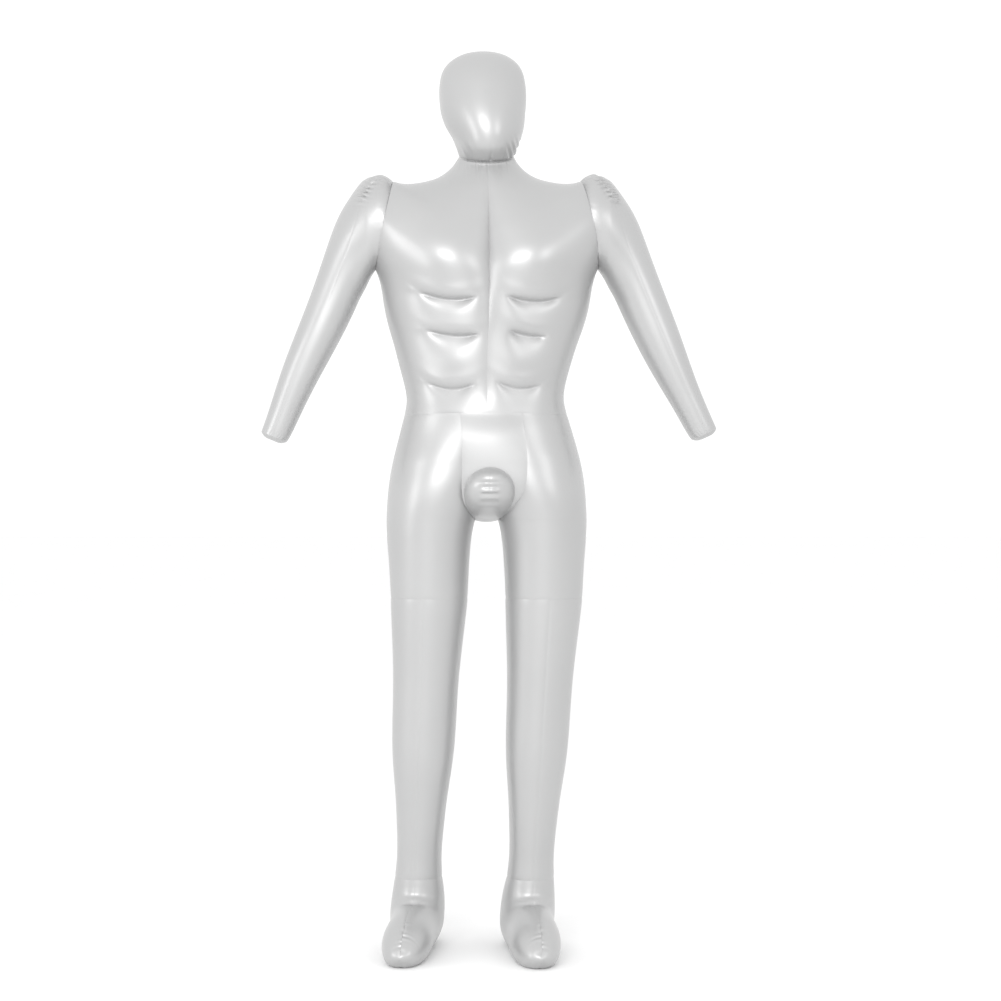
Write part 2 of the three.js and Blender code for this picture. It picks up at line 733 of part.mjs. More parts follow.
// The check flap closes the inner end of the stem.
const flap = new THREE.CylinderGeometry(FLAP_R, FLAP_R, FLAP_T, 24);
flap.translate(0, -STEM_DEPTH - FLAP_T / 2 - SEAM_GAP, 0);
add("check_flap", flap, clear, valve);

export default figure;
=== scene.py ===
"""The finished look of the inflatable mannequin: film panels, welds, gathers, valve and lights."""
import math

import bpy
import numpy as np
from mathutils import Matrix, Vector


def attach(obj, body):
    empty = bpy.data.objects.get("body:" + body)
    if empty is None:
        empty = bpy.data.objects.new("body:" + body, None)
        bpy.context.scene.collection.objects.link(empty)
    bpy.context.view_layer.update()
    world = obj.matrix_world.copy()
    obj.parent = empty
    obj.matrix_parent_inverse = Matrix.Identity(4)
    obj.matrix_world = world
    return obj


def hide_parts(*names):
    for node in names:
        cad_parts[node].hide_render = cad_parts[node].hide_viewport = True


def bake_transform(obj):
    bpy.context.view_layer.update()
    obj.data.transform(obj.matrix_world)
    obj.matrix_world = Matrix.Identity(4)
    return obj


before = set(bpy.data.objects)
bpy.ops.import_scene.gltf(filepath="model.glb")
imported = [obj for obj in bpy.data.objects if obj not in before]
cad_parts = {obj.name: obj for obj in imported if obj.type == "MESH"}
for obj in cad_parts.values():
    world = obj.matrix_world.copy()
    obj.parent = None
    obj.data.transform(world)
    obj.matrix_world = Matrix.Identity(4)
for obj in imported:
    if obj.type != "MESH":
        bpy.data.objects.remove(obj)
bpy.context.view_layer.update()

MM = 0.001
PI = math.pi

# ---------------------------------------------------------------------------------------------------------
# The figure's dimensions, in millimetres

NECK_Z = 1473
WAIST_Z = 991
MID_THIGH_Z = 652
ANKLE_Z = 130
CROTCH_Z = 796
TAIL_TOP_Z = 858
SOLE_Z = 0.6
GROUND_Z = 0.3  # where the outside of the soles lies
SPINE_Y = 24

SHOULDER_X = 196.5
SHOULDER_Z = 1342
SHOULDER_REACH = 192  # from the middle, where a torso section's rise is measured
ARMHOLE_X = 190.5  # level with the shoulder's pivot
ARMHOLE_SLOPE = -0.215
ARMHOLE_HALF_DEPTH = 72
ARMHOLE_HALF_HEIGHT = 77
ARMHOLE_SPAN = (1200, 1360)  # heights between which the torso is searched for it

TURN = 0.055  # how far the trunk turns towards its left, as a slope
SWAY = dict(by=3.5, z=1065, width=85)  # the waist's shift towards the right
NECK_TIP = 0.36  # how far the neck weld drops towards the front, as a slope
FILM = 0.3
PILLOW = 1.1  # how far a panel swells between its welds

LEG_X = 106.6
LEGS = {
    "right": dict(side=-1, lean=0.045, turn=6.5, step=-4),
    "left": dict(side=1, lean=-0.042, turn=8.0, step=-11),
}
ARMS = {"right": dict(side=-1, splay=0.2), "left": dict(side=1, splay=1.7)}
SIDES = (("right", -1), ("left", 1))
FACES = (("front", -1), ("back", 1))

# height, half width, depth before and behind the spine plane, rise at the shoulder, tip at the front
TORSO = [
    [WAIST_Z, 151, 99, 92, 0, 0],
    [1018, 146, 96, 89.5, 0, 0],
    [1050, 150, 97, 89, 0, 0],
    [1080, 158, 100, 90, 0, 0],
    [1122, 170, 105, 93, 0, 0],
    [1165, 183.5, 112, 97, 0, 0],
    [1195, 191.5, 118, 100, 7.6, 0],
    [1228, 205, 122, 106, 28, 0],
    [1255, 235, 124, 112, 44, 0],
    [1278, 250, 122, 115, 61, 0],
    [1300, 232, 118, 112, 78, 0],
    [1325, 192, 112, 106, 104, 0],
    [1348, 170, 105, 99, 96, 0.02],
    [1370, 148, 97.5, 91, 85, 0.05],
    [1398, 115, 86.5, 82, 75, 0.1],
    [1418, 90, 78.5, 73.5, 68.5, 0.16],
    [1440, 68, 67.5, 63, 64, 0.24],
    [1458, 56, 57, 55, 47, 0.3],
    [NECK_Z, 50, 50, 50, 0, NECK_TIP],
]

# height, half width, depth before and behind, shift to the left, tip
HEAD = [
    [NECK_Z, 50, 50, 50, 0, NECK_TIP],
    [1480, 52.5, 64.5, 54, 0, 0.31],
    [1492, 57, 83, 61, 0, 0.24],
    [1507, 63, 92.5, 72, 0, 0.16],
    [1522, 69.5, 94.5, 81, -2, 0.09],
    [1551, 77, 90.5, 95, -6, 0.02],
    [1581, 80, 82.5, 104, -7, 0],
    [1610, 78.5, 73, 105, -8, 0],
    [1632, 72, 61, 98, -8, 0],
    [1650, 56, 44, 78, -7.5, 0],
    [1661, 34, 25, 51, -7, 0],
    [1665, 0, 0, 0, -7, 0],
    [1661, -34, -25, -51, -7, 0],
]

HEAD_MIDDLE = (-4, SPINE_Y, 1570)

# height, outer and inner reach from the middle, depth before and behind
HIP = [
    [MID_THIGH_Z, 177.6, 35.6, 73, 77],
    [722, 181.5, 32, 82, 86],
    [782, 185.5, 25, 90, 98],
    [CROTCH_Z, 185.7, 21.5, 92, 102],
    [826, 184.5, 8, 97, 111],
    [860, 181.5, -14, 98.5, 118],
    [900, 175, -40, 96, 120],
    [940, 165, -66, 96.5, 112],
    [WAIST_Z, 151, -100, 99, 92],
]

# height, half widths of the gusset on its right and left side
GUSSET_FRONT = [
    [CROTCH_Z, 21.5, 21.5],
    [806, 28, 33],
    [815, 35, 43],
    [826, 42, 51],
    [840, 46, 60],
    [880, 48, 70],
    [940, 48.5, 68],
    [WAIST_Z, 51, 61.5],
]
GUSSET_TAIL = [
    [CROTCH_Z, 21.5],
    [812, 17],
    [826, 13],
    [845, 5],
    [860, 0],
]
HIP_ROUND_Z = 900  # from here up the two thigh sections join into the round of the waist
GUSSET_ROUND_Z = 940  # and from here up the gusset does
GUSSET_SWELL = (3, 4)  # at its two ends, and between them in front

# the rim's middle, radius and depth; top tilts the rim forward at its top, hollow curves its top and its
# bottom back, and arc is the distance over the dome from the rim to its foremost point
POUCH = dict(x=3, y=SPINE_Y - 91, z=845, radius=46, depth=38, top=24.5, hollow=14.5, arc=70)

# height, half width, depth before and behind, centre behind the spine plane
LOWER_LEG = [
    [ANKLE_Z, 43.5, 47, 47, 22],
    [160, 41.2, 45, 46, 20],
    [219, 43, 46, 50, 17],
    [278, 47.6, 49, 56, 14],
    [352, 55.5, 54, 62, 10],
    [426, 58.7, 57, 64, 7],
    [500, 60.5, 60, 66, 4],
    [574, 65.2, 66, 71, 2],
    [MID_THIGH_Z, 71, 73, 77, 0],
]

# section, forward and up of its top point, the same of its bottom point, half width
FOOT = [
    [0, 47, ANKLE_Z, -47, ANKLE_Z, 43.5],
    [1, 48.2, 115, -55, 106, 46],
    [2, 52, 102, -61, 73, 48.5],
    [3, 60, 95, -62, 38, 49.5],
    [4, 68, 91, -52, 4, 48.5],
    [5, 82, 89, -12, -13, 44.5],
    [6, 104, 85, 46, -15, 43.5],
    [7, 130, 77, 96, -15, 44],
    [8, 155, 64, 138, -13, 40],
    [9, 175, 48, 168, -6, 31],
    [10, 189, 32, 187, 8, 18],
    [11, 196, 21, 196, 19, 0],
]

# section, the inner point (out, up), the outer point, half depth
ARM = [
    [-1.6, 206.5, 1262, 174.5, 1424, 73],
    [-1.0, 208, 1260, 186, 1433.5, 73],
    [-0.5, 210, 1257, 200, 1437, 72.5],
    [0, 212.5, 1253, 216, 1433, 71],
    [1, 216, 1247, 235, 1421, 68],
    [2, 219.5, 1240, 256.5, 1391, 62],
    [3, 226, 1226, 279.5, 1349, 54],
    [4, 236, 1207, 303, 1282, 47],
    [5, 249, 1177, 328, 1210, 43],
    [6, 275, 1122, 349, 1152.5, 40.5],
    [7, 306, 1063, 371, 1090, 36],
    [8, 337.5, 1004, 392, 1027, 30.5],
    [9, 360, 959, 409.5, 978, 26.5],
    [10, 371, 940.5, 417, 959.5, 24.5],
]
WRIST = 10.0  # the arm's last section
WRIST_RADIUS = 24
ARM_SEAM = math.radians(83)
ARM_SEAM_TOP = math.radians(25)
ARM_SEAM_TURN = (-1.6, 3.4)  # the sections between which the welds turn down from the top
LEAD_ROWS = 8  # rows of a sleeve that lead in from the armhole
LADDER_TOP = np.array([199, 1435])  # out from the middle, up: where the gathers on the shoulder begin
LADDER_END = np.array([234, 1384])

# The welds that draw the chest and the belly: points (x, z) along each, and its depth
DARTS = [
    ([(-126, 1210), (-98, 1199), (-70, 1194), (-44, 1195), (-24, 1199)], 14),
    ([(33, 1201), (56, 1194), (80, 1190), (106, 1193), (131, 1200)], 13),
    ([(-112, 1141), (-92, 1134), (-70, 1130), (-42, 1129), (-17, 1132)], 12),
    ([(39, 1139), (54, 1133), (70, 1130.5), (88, 1129), (106, 1129.5)], 11),
    ([(-110, 1047), (-88, 1038), (-66, 1034), (-44, 1036), (-24, 1043)], 9),
    ([(18, 1047), (38, 1038.5), (62, 1035), (82, 1037), (99, 1042)], 8),
]
DART_ABOVE = 6.5  # how far the pull reaches above the line, and below it
DART_BELOW = 23
DART_BROW = dict(rise=2.2, above=18, width=12)

# The swellings on each side of the chest and the belly
CHEST = dict(x=80, z=1268, width=62, rise=13)
BELLY = dict(x=56, width=34, rise=3.2, rows=((1164, 22), (1084, 30)))

# height, depth of the front centre weld's crease
CENTRE_WELD = [
    [980, 0],
    [1000, 0.2],
    [1020, 2.2],
    [1060, 4.2],
    [1120, 6],
    [1190, 13],
    [1260, 21],
    [1310, 21],
    [1370, 13],
    [1410, 6],
    [1440, 1],
    [1490, 0.3],
]

VALVE = dict(x=42, y=SPINE_Y + 86.4, z=1078, turn=-0.155)


# ---------------------------------------------------------------------------------------------------------
# Curves

def spline(rows):
    """A natural cubic spline through rows of [position, value, ...].

    The function that comes back gives the values at an array of positions."""
    rows = np.array(rows, float)
    at, values = rows[:, 0], rows[:, 1:]
    n = len(at)
    h = np.diff(at)
    system = np.eye(n)
    right = np.zeros_like(values)
    for i in range(1, n - 1):
        system[i, i - 1 : i + 2] = h[i - 1], 2 * (h[i - 1] + h[i]), h[i]
        right[i] = 6 * ((values[i + 1] - values[i]) / h[i] - (values[i] - values[i - 1]) / h[i - 1])
    second = np.linalg.solve(system, right)

    def value(p):
        p = np.asarray(p, float)
        i = np.clip(np.searchsorted(at, p, side="right") - 1, 0, n - 2)
        b = ((p - at[i]) / h[i])[..., None]
        a = 1 - b
        step = h[i][..., None] ** 2 / 6
        straight = a * values[i] + b * values[i + 1]
        curved = (a**3 - a) * second[i] + (b**3 - b) * second[i + 1]
        return np.moveaxis(straight + curved * step, -1, 0)

    return value


torso_at = spline(TORSO)
hip_at = spline(HIP)
gusset_at = spline(GUSSET_FRONT)
tail_at = spline(GUSSET_TAIL)
leg_at = spline(LOWER_LEG)
foot_at = spline(FOOT)
arm_at = spline(ARM)
centre_weld_at = spline(CENTRE_WELD)


def smooth(t):
    """An even step from 0 to 1, level at both ends."""
    t = np.clip(t, 0, 1)
    return t * t * (3 - 2 * t)


def mix(a, b, t):
    return a + (b - a) * t


def bump(x, centre, width):
    """A rounded hump of height 1."""
    return np.exp(-(((x - centre) / width) ** 2))


HALVINGS = 44


def angle_where(reach, limit, top):
    """The angle, for each row, where a falling reach comes down to its limit."""
    low = np.zeros_like(top)
    high = top.copy()
    for _ in range(HALVINGS):
        middle = (low + high) / 2
        over = reach(middle) > limit(middle)
        low = np.where(over, middle, low)
        high = np.where(over, high, middle)
    return np.where(reach(np.zeros_like(top)) <= limit(np.zeros_like(top)), 0, high)


def points(x, y, z):
    return np.stack(np.broadcast_arrays(x, y, z), axis=-1).astype(float)


def turned(p):
    """The trunk's turn and sway: what is in front of the spine moves to the figure's left."""
    p = p.copy()
    share = smooth((p[..., 2] - MID_THIGH_Z) / (WAIST_Z - MID_THIGH_Z))
    sway = SWAY["by"] * bump(p[..., 2], SWAY["z"], SWAY["width"])
    p[..., 0] += TURN * (SPINE_Y - p[..., 1]) * share - sway
    return p


# ---------------------------------------------------------------------------------------------------------
# Relief: swelling between welds, creases and gathers

def lengths(grid, axis):
    """The distance along the grid from its first and from its last row or column."""
    step = np.linalg.norm(np.diff(grid, axis=axis), axis=-1)
    start = np.zeros(grid.shape[:2])
    body = [slice(None), slice(None)]
    body[axis] = slice(1, None)
    start[tuple(body)] = np.cumsum(step, axis=axis)
    last = np.take(start, [-1], axis=axis)
    return start, last - start


def normals(grid, outward):
    """Unit normals of a grid of points, facing along outward on the whole."""
    along = np.gradient(grid, axis=0)
    across = np.gradient(grid, axis=1)
    n = np.cross(along, across)
    size = np.linalg.norm(n, axis=-1, keepdims=True)
    n = n / np.maximum(size, 1e-9)
    return n if np.sum(n * outward) > 0 else -n


def swell(grid, welds, height=PILLOW):
    """How far each point rises between the welds.

    The welds are those along the first row, the last row, the first column and the last column. Each is
    (share, reach), or None where the panel has no weld."""
    rise = np.full(grid.shape[:2], float(height))
    distances = (*lengths(grid, 0), *lengths(grid, 1))
    for distance, weld in zip(distances, welds):
        if weld:
            rise *= 1 - weld[0] * np.exp(-distance / weld[1])
    return rise


def held(grid, welds, reach=2.5):
    """Nought along the welds, where both panels have to meet, and one away from them."""
    share = np.ones(grid.shape[:2])
    distances = (*lengths(grid, 0), *lengths(grid, 1))
    for distance, weld in zip(distances, welds):
        if weld:
            share *= 1 - np.exp(-distance / reach)
    return share


def waves(p, size):
    """A slow irregular waviness of the film, from -1 to 1."""
    x, y, z = (p[..., i] / size for i in range(3))
    return (
        np.sin(1.3 * x + 0.7 * z + 2.1 * np.sin(0.31 * z + 0.4 * y))
        + np.sin(0.9 * z - 0.8 * y + 1.7 * np.sin(0.43 * x + 1.1))
        + np.sin(1.1 * y + 0.6 * x - 0.5 * z + 0.9)
    ) / 3


def gathers(along, away, pitch, reach, seed):
    """Short folds that cross a weld: along and away are distances along it and from it."""
    phase = 2 * PI * along / pitch
    wander = 1.6 * np.sin(phase / 3.7 + seed) + 0.9 * np.sin(phase / 5.9 + 2.3 * seed)
    strength = 0.55 + 0.45 * np.sin(phase / 2.6 + 1.9 * seed)
    length = reach * (0.75 + 0.35 * np.sin(phase / 1.9 + 3.1 * seed))
    return np.sin(phase + wander) * strength * np.exp(-away / np.maximum(length, 1))


# ---------------------------------------------------------------------------------------------------------
# Meshes

def quads(rows, columns, first=0):
    """The faces of a grid of points whose numbers start at first."""
    index = first + np.arange(rows * columns).reshape(rows, columns)
    corners = [index[:-1, :-1], index[:-1, 1:], index[1:, 1:], index[1:, :-1]]
    return np.stack(corners, axis=-1).reshape(-1, 4)


def mesh_object(name, vertices, faces, material):
    """An object made from corner points, in millimetres, and the faces between them."""
    mesh = bpy.data.meshes.new(name)
    mesh.from_pydata((vertices * MM).tolist(), [], faces)
    made = bpy.data.objects.new(name, mesh)
    bpy.context.collection.objects.link(made)
    made.data.materials.append(material)
    return made


def facing(grid, outward):
    """The grid with its rows in the order that makes its faces point outward."""
    n = np.cross(np.gradient(grid, axis=1), np.gradient(grid, axis=0))
    return grid if np.sum(n * outward) > 0 else grid[::-1]


ONE_POINT = 0.01  # a row no larger than this, in millimetres, is a single point


def film_shell(name, grid, outward):
    """A panel of film as a closed shell: a grid of points on its outside, thickened inwards."""
    grid = facing(grid, outward)
    rows, columns = grid.shape[:2]
    n = np.cross(np.gradient(grid, axis=1), np.gradient(grid, axis=0))
    n /= np.maximum(np.linalg.norm(n, axis=-1, keepdims=True), 1e-9)
    # Where a whole row runs together in one point, that point takes the mean direction of its neighbours.
    for end, beside in ((-1, -2), (0, 1)):
        if np.ptp(grid[end], axis=0).max() < ONE_POINT:
            n[end] = n[beside].mean(axis=0)
    count = rows * columns
    index = np.arange(count).reshape(rows, columns)
    rim = np.concatenate([index[0, :-1], index[:-1, -1], index[-1, :0:-1], index[:0:-1, 0]])
    following = np.roll(rim, -1)
    faces = np.concatenate([
        quads(rows, columns),
        quads(rows, columns, count)[:, ::-1],
        np.stack([following, rim, rim + count, following + count], axis=-1),
    ])
    vertices = np.concatenate([grid.reshape(-1, 3), (grid - n * FILM).reshape(-1, 3)])
    made = mesh_object(name, vertices, faces.tolist(), film)
    mesh = made.data
    mesh.polygons.foreach_set("use_smooth", [True] * len(mesh.polygons))
    # The cut edges stay sharp, so that the shading of a panel runs level up to its welds.
    on_rim = np.zeros(2 * count, bool)
    on_rim[rim] = on_rim[rim + count] = True
    ends = np.zeros(2 * len(mesh.edges), int)
    mesh.edges.foreach_get("vertices", ends)
    sharp = mesh.attributes.new("sharp_edge", "BOOLEAN", "EDGE")
    sharp.data.foreach_set("value", on_rim[ends].reshape(-1, 2).all(axis=1))
    mesh.validate()
    return made


def rows_between(marks, step):
    """Positions through the marks, no further apart than step."""
    out = [marks[0]]
    for a, b in zip(marks, marks[1:]):
        count = max(1, math.ceil(abs(b - a) / step))
        out += [a + (b - a) * (i + 1) / count for i in range(count)]
    return np.array(out, float)


# ---------------------------------------------------------------------------------------------------------
# Surfaces

def lifted(x):
    """The share of a torso section's rise at a distance from the middle."""
    return (x / SHOULDER_REACH) ** 2


def armhole_x(z):
    """How far out the armhole's plane lies at a height."""
    return ARMHOLE_X + ARMHOLE_SLOPE * (z - SHOULDER_Z)


def torso_edge(heights):
    """The angle at which each torso section meets the side weld or the armhole."""
    width, _, _, lift, _ = torso_at(heights)
    return angle_where(
        lambda a: width * np.cos(a),
        lambda a: armhole_x(heights + lift * lifted(width * np.cos(a))),
        np.full(heights.shape, PI / 2),
    )


def torso_points(side, face, heights, share):
    """Points of a torso panel: share runs from its middle weld to its side weld."""
    width, front, back, lift, tip = (v[:, None] for v in torso_at(heights))
    angle = mix(PI / 2, torso_edge(heights)[:, None], share[None, :])
    x = width * np.cos(angle)
    y = face * (front if face < 0 else back) * np.sin(angle)
    return points(side * x, SPINE_Y + y, heights[:, None] + lift * lifted(x) + tip * y)


def armhole_ring(side):
    """The armhole as a function of the angle round it, 0 at the top and a quarter turn at the back."""
    heights = np.linspace(*ARMHOLE_SPAN, 1600)
    edge = torso_edge(heights)
    cut = (edge > 1e-6) & (edge < PI / 2)
    loop = []
    for face in (-1, 1):
        loop.append(torso_points(1, face, heights[cut], np.array([1.0]))[:, 0])
    loop = np.concatenate(loop)
    turn = np.arctan2(loop[:, 1] - SPINE_Y, loop[:, 2] - SHOULDER_Z)
    order = np.argsort(turn)
    turn, loop = turn[order], loop[order]
    turn = np.concatenate([turn - 2 * PI, turn, turn + 2 * PI])
    loop = np.concatenate([loop, loop, loop])

    def at(angle):
        angle = np.arctan2(np.sin(angle) * ARMHOLE_HALF_DEPTH, np.cos(angle) * ARMHOLE_HALF_HEIGHT)
        x, y, z = (np.interp(angle, turn, loop[:, i]) for i in range(3))
        return points(side * x, y, z)

    return at


UNCUT = -1e9  # a limit so far in that it cuts nothing off


def hip_points(side, face, heights, share):
    """Points of a hip and thigh panel: a round lobe low down, and the round of the waist at its top."""
    outer, inner, front, back = hip_at(heights)
    front_limit = gusset_at(heights)[0 if side < 0 else 1]
    tail_limit = np.maximum(0, tail_at(heights)[0])
    limit = front_limit if face < 0 else np.where(heights > TAIL_TOP_Z, 0, tail_limit)
    cut = np.where(heights > CROTCH_Z, limit, UNCUT)
    centre, half = (outer + inner) / 2, (outer - inner) / 2
    top = np.full(heights.shape, PI)
    lobe_end = angle_where(lambda a: centre + half * np.cos(a), lambda a: cut, top)
    ring_end = angle_where(lambda a: outer * np.cos(a), lambda a: np.maximum(cut, 0), top)
    lobe = lobe_end[:, None] * share[None, :]
    ring = ring_end[:, None] * share[None, :]
    of_waist = smooth((heights - HIP_ROUND_Z) / (WAIST_Z - HIP_ROUND_Z))[:, None]
    depth = (front if face < 0 else back)[:, None]
    x = mix(centre[:, None] + half[:, None] * np.cos(lobe), outer[:, None] * np.cos(ring), of_waist)
    y = face * depth * mix(np.sin(lobe), np.sin(ring), of_waist)
    return points(side * x, SPINE_Y + y, heights[:, None])


def gusset_points(face, heights, share):
    """Points of the gusset, between the edges of the right and the left thigh panel."""
    one = np.array([1.0])
    right = hip_points(-1, face, heights, one)
    left = hip_points(1, face, heights, one)
    upward = smooth((heights - CROTCH_Z) / 60)
    out = points(0 * upward, face * upward, upward - 1)
    out /= np.maximum(np.linalg.norm(out, axis=-1, keepdims=True), 1e-9)
    end, middle = GUSSET_SWELL
    swelling = np.full(heights.shape, float(end))
    if face < 0:
        from_crotch = mix(end, middle, smooth((heights - CROTCH_Z) / 45))
        swelling = mix(end, from_crotch, smooth((WAIST_Z - heights) / 60))
    rise = swelling[:, None] * (1 - np.abs(2 * share - 1) ** 2)
    strip = right + (left - right) * share[None, :, None] + out[:, None] * rise[..., None]
    outer, _, front, back = (v[:, None] for v in hip_at(heights))
    x = strip[..., 0]
    ring = SPINE_Y + face * np.where(face < 0, front, back) * np.sqrt(1 - (x / outer) ** 2)
    of_waist = smooth((heights - GUSSET_ROUND_Z) / (WAIST_Z - GUSSET_ROUND_Z))[:, None]
    strip[..., 1] = mix(strip[..., 1], ring, of_waist)
    return strip


def leaned(leg, z):
    """How far a leg's lean has moved it towards the figure's left at a height."""
    return leg["side"] * leg["lean"] * (MID_THIGH_Z - z)


def lower_leg_points(leg, inward, heights, share):
    """Points of a lower leg's panel: share runs from its front weld to its back weld."""
    half, front, back, behind = (v[:, None] for v in leg_at(heights))
    angle = PI * share[None, :]
    x = -inward * leg["side"] * half * np.sin(angle)
    y = -np.cos(angle) * np.where(np.cos(angle) > 0, front, back)
    return points(x + leaned(leg, heights[:, None]), y + behind, heights[:, None])


def foot_ring(leg, inward, sections, turn):
    """Points of a foot's sections: turn runs from the top point, 0, to the bottom point, half a turn."""
    top_forward, top_up, low_forward, low_up, half = (v[:, None] for v in foot_at(sections))
    swing = (1 - np.cos(turn)) / 2
    up = mix(top_up, low_up, swing)
    x = leg["step"] * (1 - up / ANKLE_Z) - inward * leg["side"] * np.maximum(half, 0) * np.sin(turn)
    return points(x, -mix(top_forward, low_forward, swing), up)


def foot_points(leg, inward, sections, share):
    """Points of a foot's panel: share runs from its top weld down to the sole."""
    end = angle_where(
        lambda a: foot_ring(leg, inward, sections, a[:, None])[:, 0, 2],
        lambda a: np.full(a.shape, SOLE_Z),
        np.full(sections.shape, PI),
    )
    return foot_ring(leg, inward, sections, end[:, None] * share[None, :])


def arm_seam(section):
    """The angle of an arm's welds at a section, from the arm's outer line."""
    first, last = ARM_SEAM_TURN
    return mix(ARM_SEAM_TOP, ARM_SEAM, smooth((section - first) / (last - first)))


def arm_points(side, sections, angles):
    """Points of an arm's sections: the angles are rows, one for each section or one for all of them."""
    inner_x, inner_z, outer_x, outer_z, depth = (v[:, None] for v in arm_at(sections))
    swing = (1 + np.cos(angles)) / 2
    return points(
        side * mix(inner_x, outer_x, swing),
        SPINE_Y + depth * np.sin(angles),
        mix(inner_z, outer_z, swing),
    )


# ---------------------------------------------------------------------------------------------------------
# Materials

def principled(name):
    """A new material with its nodes, links and shader."""
    material = bpy.data.materials.new(name)
    material.use_nodes = True
    nodes, links = material.node_tree.nodes, material.node_tree.links
    return material, nodes, links, nodes["Principled BSDF"]


def noise(nodes, links, scale, detail=2.0):
    """Fine cloudy noise laid over the piece."""
    coordinates = nodes.new("ShaderNodeTexCoord")
    texture = nodes.new("ShaderNodeTexNoise")
    texture.inputs["Scale"].default_value = scale
    texture.inputs["Detail"].default_value = detail
    links.new(coordinates.outputs["Object"], texture.inputs["Vector"])
    return texture.outputs["Fac"]


def ranged(nodes, links, source, low, high):
    """The noise's usual span brought to the span from low to high."""
    node = nodes.new("ShaderNodeMapRange")
    node.inputs["From Min"].default_value = 0.3
    node.inputs["From Max"].default_value = 0.7
    node.inputs["To Min"].default_value = low
    node.inputs["To Max"].default_value = high
    links.new(source, node.inputs["Value"])
    return node.outputs["Result"]


def tint(nodes, links, shader, source, first, second):
    """The base colour: the source mixes two tints."""
    shade = nodes.new("ShaderNodeMix")
    shade.data_type = "RGBA"
    shade.inputs["A"].default_value = (*first, 1)
    shade.inputs["B"].default_value = (*second, 1)
    links.new(source, shade.inputs["Factor"])
    links.new(shade.outputs["Result"], shader.inputs["Base Color"])


def film_material():
    """Pearl-silver PVC: a satin metallic layer under a clearer skin."""
    material, nodes, links, shader = principled("pearl film")
    tint(nodes, links, shader, noise(nodes, links, 9.0, 3.0), (0.44, 0.441, 0.442), (0.47, 0.471, 0.471))
    links.new(ranged(nodes, links, noise(nodes, links, 14.0), 0.35, 0.4), shader.inputs["Roughness"])
    shader.inputs["Metallic"].default_value = 0.45
    shader.inputs["Specular IOR Level"].default_value = 0.5
    shader.inputs["Coat Weight"].default_value = 0.35
    shader.inputs["Coat Roughness"].default_value = 0.21
    relief = nodes.new("ShaderNodeBump")
    relief.inputs["Strength"].default_value = 0.05
    relief.inputs["Distance"].default_value = 0.0003
    links.new(noise(nodes, links, 55.0, 1.0), relief.inputs["Height"])
    links.new(relief.outputs["Normal"], shader.inputs["Normal"])
    return material


def clear_material():
    """Cloudy clear PVC of the valve's mouldings."""
    material, nodes, links, shader = principled("cloudy clear")
    tint(nodes, links, shader, noise(nodes, links, 160.0), (0.70, 0.72, 0.73), (0.80, 0.81, 0.82))
    links.new(ranged(nodes, links, noise(nodes, links, 240.0), 0.25, 0.4), shader.inputs["Roughness"])
    shader.inputs["Transmission Weight"].default_value = 0.35
    shader.inputs["IOR"].default_value = 1.45
    return material


def floor_material():
    """The studio's matt floor."""
    material, nodes, links, shader = principled("pale floor")
    tint(nodes, links, shader, noise(nodes, links, 3.0), (0.90, 0.90, 0.90), (0.92, 0.92, 0.92))
    shader.inputs["Roughness"].default_value = 0.9
    shader.inputs["Specular IOR Level"].default_value = 0.1
    return material


film = film_material()
clear = clear_material()


# ---------------------------------------------------------------------------------------------------------
# Torso

def dart_pull(x, z, line, depth):
    """How far a dart pulls the film in, and how far the brow above it stands out.

    The pull fades steeply above the dart's line, and gently and ever wider below it."""
    xs, zs = np.array(line, float).T
    over = z - np.polyval(np.polyfit(xs, zs, 2), x)
    aside = np.abs(x - (xs[0] + xs[-1]) / 2) / (np.ptp(xs) / 2)
    ends = np.exp(-(aside ** (2 + 5 * np.exp(-np.abs(over) / 6))))
    pull = depth * ends * np.exp(-np.abs(over) / np.where(over > 0, DART_ABOVE, DART_BELOW))
    brow = DART_BROW["rise"] * np.exp(-(aside**2)) * bump(over, DART_BROW["above"], DART_BROW["width"])
    return pull, brow


def torso_relief(grid, side, face):
    """The swelling of a torso panel: gathers at the neck and, in front, the creases of its welds."""
    centre = (1, 6) if face > 0 else None
    welds = (1, 5), (1, 5), centre, (1, 12)
    rise = swell(grid, welds)
    x, z = grid[..., 0], grid[..., 2]
    to_neck = lengths(grid, 0)[1]
    around, to_side = lengths(grid, 1)
    extra = 0.9 * gathers(around + 40 * face, to_neck, 8.5, 15, 1.7 * side + face)
    if face > 0:
        extra += 0.3 * waves(grid, 40)
        return rise + extra * held(grid, welds)
    crease = centre_weld_at(z)[0] * np.exp(-np.abs(x) / mix(16, 28, bump(z, 1275, 90)))
    pull = np.maximum(crease, 0) ** 2
    for line, depth in DARTS:
        if np.sign(np.mean([p[0] for p in line])) != side:
            continue
        dart, brow = dart_pull(x, z, line, depth)
        pull += dart**2
        extra += brow
    chest_width = CHEST["width"]
    extra += CHEST["rise"] * bump(x, side * CHEST["x"], chest_width) * bump(z, CHEST["z"], chest_width)
    belly_rows = sum(bump(z, height, width) for height, width in BELLY["rows"])
    extra += BELLY["rise"] * bump(x, side * BELLY["x"], BELLY["width"]) * belly_rows
    extra += 0.3 * waves(grid, 40)
    extra += 1.4 * bump(to_neck, 5, 3)
    edge = 1 - np.exp(-to_side / 16)
    return rise + (extra * edge - np.sqrt(pull)) * held(grid, welds, 3)


